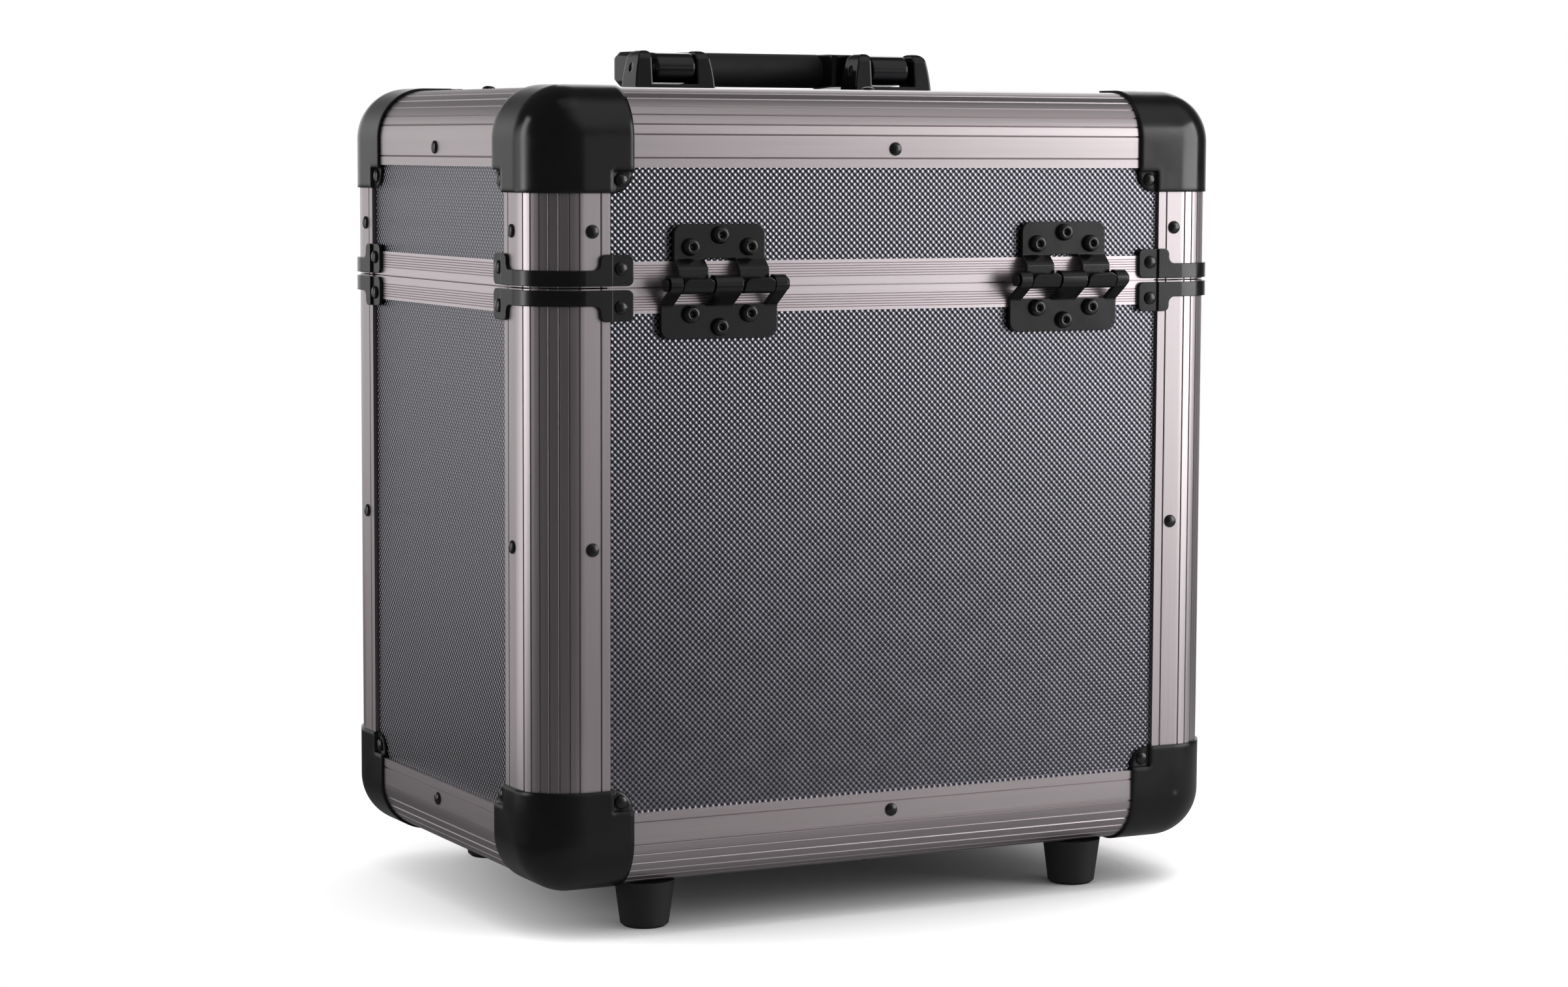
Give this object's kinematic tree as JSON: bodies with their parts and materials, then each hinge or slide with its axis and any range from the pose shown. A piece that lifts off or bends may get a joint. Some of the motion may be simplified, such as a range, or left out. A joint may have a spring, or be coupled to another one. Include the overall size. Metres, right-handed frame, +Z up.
{
  "type": "record carrying case",
  "caption": "Aluminium-edged carrying case for 12-inch records, with a hinged lid, draw latches on the front, ball corners, rubber feet and a folding handle on top.",
  "frame": {"origin": "on the floor, under the centre of the case, at the base of the feet", "axes": "+Z up, +Y towards the hinges, -Y towards the latches, X along the handle"},
  "size_m": [0.3744, 0.2725, 0.4152],
  "materials": {
    "panel": "black board faced with an embossed diamond sheet, silver on the raised points",
    "profile": "brushed, satin anodised, with fine grooves",
    "rim": "satin anodised, fine grooves",
    "corner": "black, satin",
    "bracket": "black, satin",
    "hinge": "black, satin",
    "pin": "dark, plain",
    "rivet": "black, glossy",
    "handle": "black, glossy",
    "grip": "black, soft, matt",
    "latch": "black, satin",
    "foot": "black, matt",
    "lining": "black felt",
    "foam": "dark foam"
  },
  "bodies": {
    "case_body": {"body_back_panel": "panel", "body_front_panel": "panel", "body_left_panel": "panel", "body_right_panel": "panel", "body_bottom_panel": "panel", "body_posts": "profile", "bottom_edge_back": "profile", "bottom_edge_front": "profile", "bottom_edge_left": "profile", "bottom_edge_right": "profile", "body_rim": "rim", "lower_corner_back_left": "corner", "lower_corner_back_right": "corner", "lower_corner_front_left": "corner", "lower_corner_front_right": "corner", "body_rim_brackets": "bracket", "body_rivets": "rivet", "body_lining": "lining", "hinge_lower_leaves": "hinge", "hinge_pins": "pin", "hinge_lower_rivets": "hinge", "feet": "foot", "foot_screws": "pin", "floor_pad": "foam", "latch_bases": "latch", "latch_pivots": "pin"},
    "lid": {"lid_back_panel": "panel", "lid_front_panel": "panel", "lid_left_panel": "panel", "lid_right_panel": "panel", "lid_top_panel": "panel", "lid_posts": "profile", "top_edge_back": "profile", "top_edge_front": "profile", "top_edge_left": "profile", "top_edge_right": "profile", "lid_rim": "rim", "upper_corner_back_left": "corner", "upper_corner_back_right": "corner", "upper_corner_front_left": "corner", "upper_corner_front_right": "corner", "lid_rim_brackets": "bracket", "lid_rivets": "rivet", "lid_lining": "lining", "lid_pad": "foam", "hinge_upper_leaves": "hinge", "hinge_upper_rivets": "hinge", "latch_keepers": "latch", "handle_brackets": "handle", "handle_screws": "pin", "handle_pins": "pin"},
    "handle": {"handle_frame": "handle", "handle_grip": "grip"},
    "lever_left": {"latch_lever_left": "latch", "latch_lever_pin_left": "pin"},
    "lever_right": {"latch_lever_right": "latch", "latch_lever_pin_right": "pin"},
    "hook_left": {"latch_hook_left": "latch"},
    "hook_right": {"latch_hook_right": "latch"}
  },
  "joints": [
    {"name": "lid_hinge", "type": "hinge", "parent": "case_body", "child": "lid", "pos_m": [0, 0.1305, 0.3046], "axis": [-1, 0, 0], "range_deg": [0, 105]},
    {"name": "handle_swing", "type": "hinge", "parent": "lid", "child": "handle", "pos_m": [0, 0, 0.4066], "axis": [-1, 0, 0], "range_deg": [0, 180]},
    {"name": "latch_lever_left_turn", "type": "hinge", "parent": "case_body", "child": "lever_left", "pos_m": [-0.093, -0.1295, 0.2804], "axis": [-1, 0, 0], "range_deg": [0, 110]},
    {"name": "latch_hook_left_turn", "type": "hinge", "parent": "lever_left", "child": "hook_left", "pos_m": [-0.093, -0.12703, 0.27279], "axis": [-1, 0, 0], "range_deg": [-116, 0]},
    {"name": "latch_lever_right_turn", "type": "hinge", "parent": "case_body", "child": "lever_right", "pos_m": [0.093, -0.1295, 0.2804], "axis": [-1, 0, 0], "range_deg": [0, 110]},
    {"name": "latch_hook_right_turn", "type": "hinge", "parent": "lever_right", "child": "hook_right", "pos_m": [0.093, -0.12703, 0.27279], "axis": [-1, 0, 0], "range_deg": [-116, 0]}
  ],
  "couplings": [
    {"joint": "latch_hook_left_turn", "follows": "latch_lever_left_turn", "ratio": -1.05},
    {"joint": "latch_hook_right_turn", "follows": "latch_lever_right_turn", "ratio": -1.05}
  ]
}
